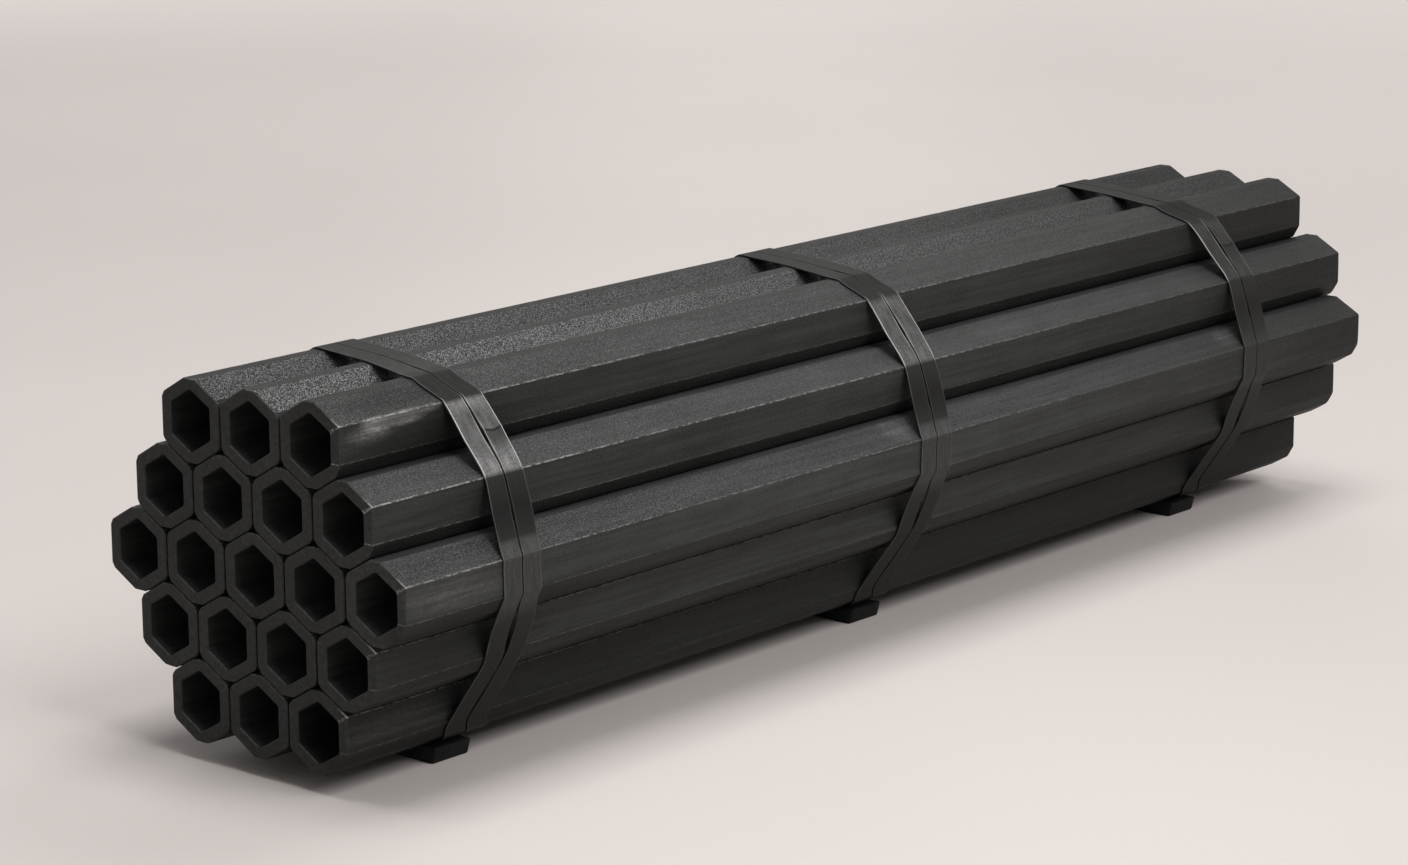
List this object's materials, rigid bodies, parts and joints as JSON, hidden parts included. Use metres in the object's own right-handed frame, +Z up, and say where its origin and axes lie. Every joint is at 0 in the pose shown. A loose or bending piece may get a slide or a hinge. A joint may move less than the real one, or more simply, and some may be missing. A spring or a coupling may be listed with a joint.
{
  "type": "bundle of hexagonal ceramic tubes",
  "caption": "Honeycomb bundle of black hexagonal ceramic tubes, bound by pairs of flat plastic bands and lying on low bearers.",
  "frame": {"origin": "on the floor under the middle of the bundle's box", "axes": "+Y along the tubes from their flush near ends to their far ends, +X to the right as seen from the near ends, +Z up"},
  "size_m": [0.1986, 0.808, 0.185],
  "materials": {
    "tube_ceramic": "matt, fine-grained, fired",
    "band_plastic": "satin, drawn",
    "bearer_rubber": "matt"
  },
  "bodies": {
    "root": {"tube_1_1": "tube_ceramic", "tube_1_2": "tube_ceramic", "tube_1_3": "tube_ceramic", "tube_2_1": "tube_ceramic", "tube_2_2": "tube_ceramic", "tube_2_3": "tube_ceramic", "tube_2_4": "tube_ceramic", "tube_3_1": "tube_ceramic", "tube_3_2": "tube_ceramic", "tube_3_3": "tube_ceramic", "tube_3_4": "tube_ceramic", "tube_3_5": "tube_ceramic", "tube_4_1": "tube_ceramic", "tube_4_2": "tube_ceramic", "tube_4_3": "tube_ceramic", "tube_4_4": "tube_ceramic", "tube_5_1": "tube_ceramic", "tube_5_2": "tube_ceramic", "tube_5_3": "tube_ceramic", "strap_front_a": "band_plastic", "strap_front_b": "band_plastic", "strap_middle_a": "band_plastic", "strap_middle_b": "band_plastic", "strap_rear_a": "band_plastic", "strap_rear_b": "band_plastic", "bearer_front": "bearer_rubber", "bearer_middle": "bearer_rubber", "bearer_rear": "bearer_rubber"}
  },
  "joints": []
}
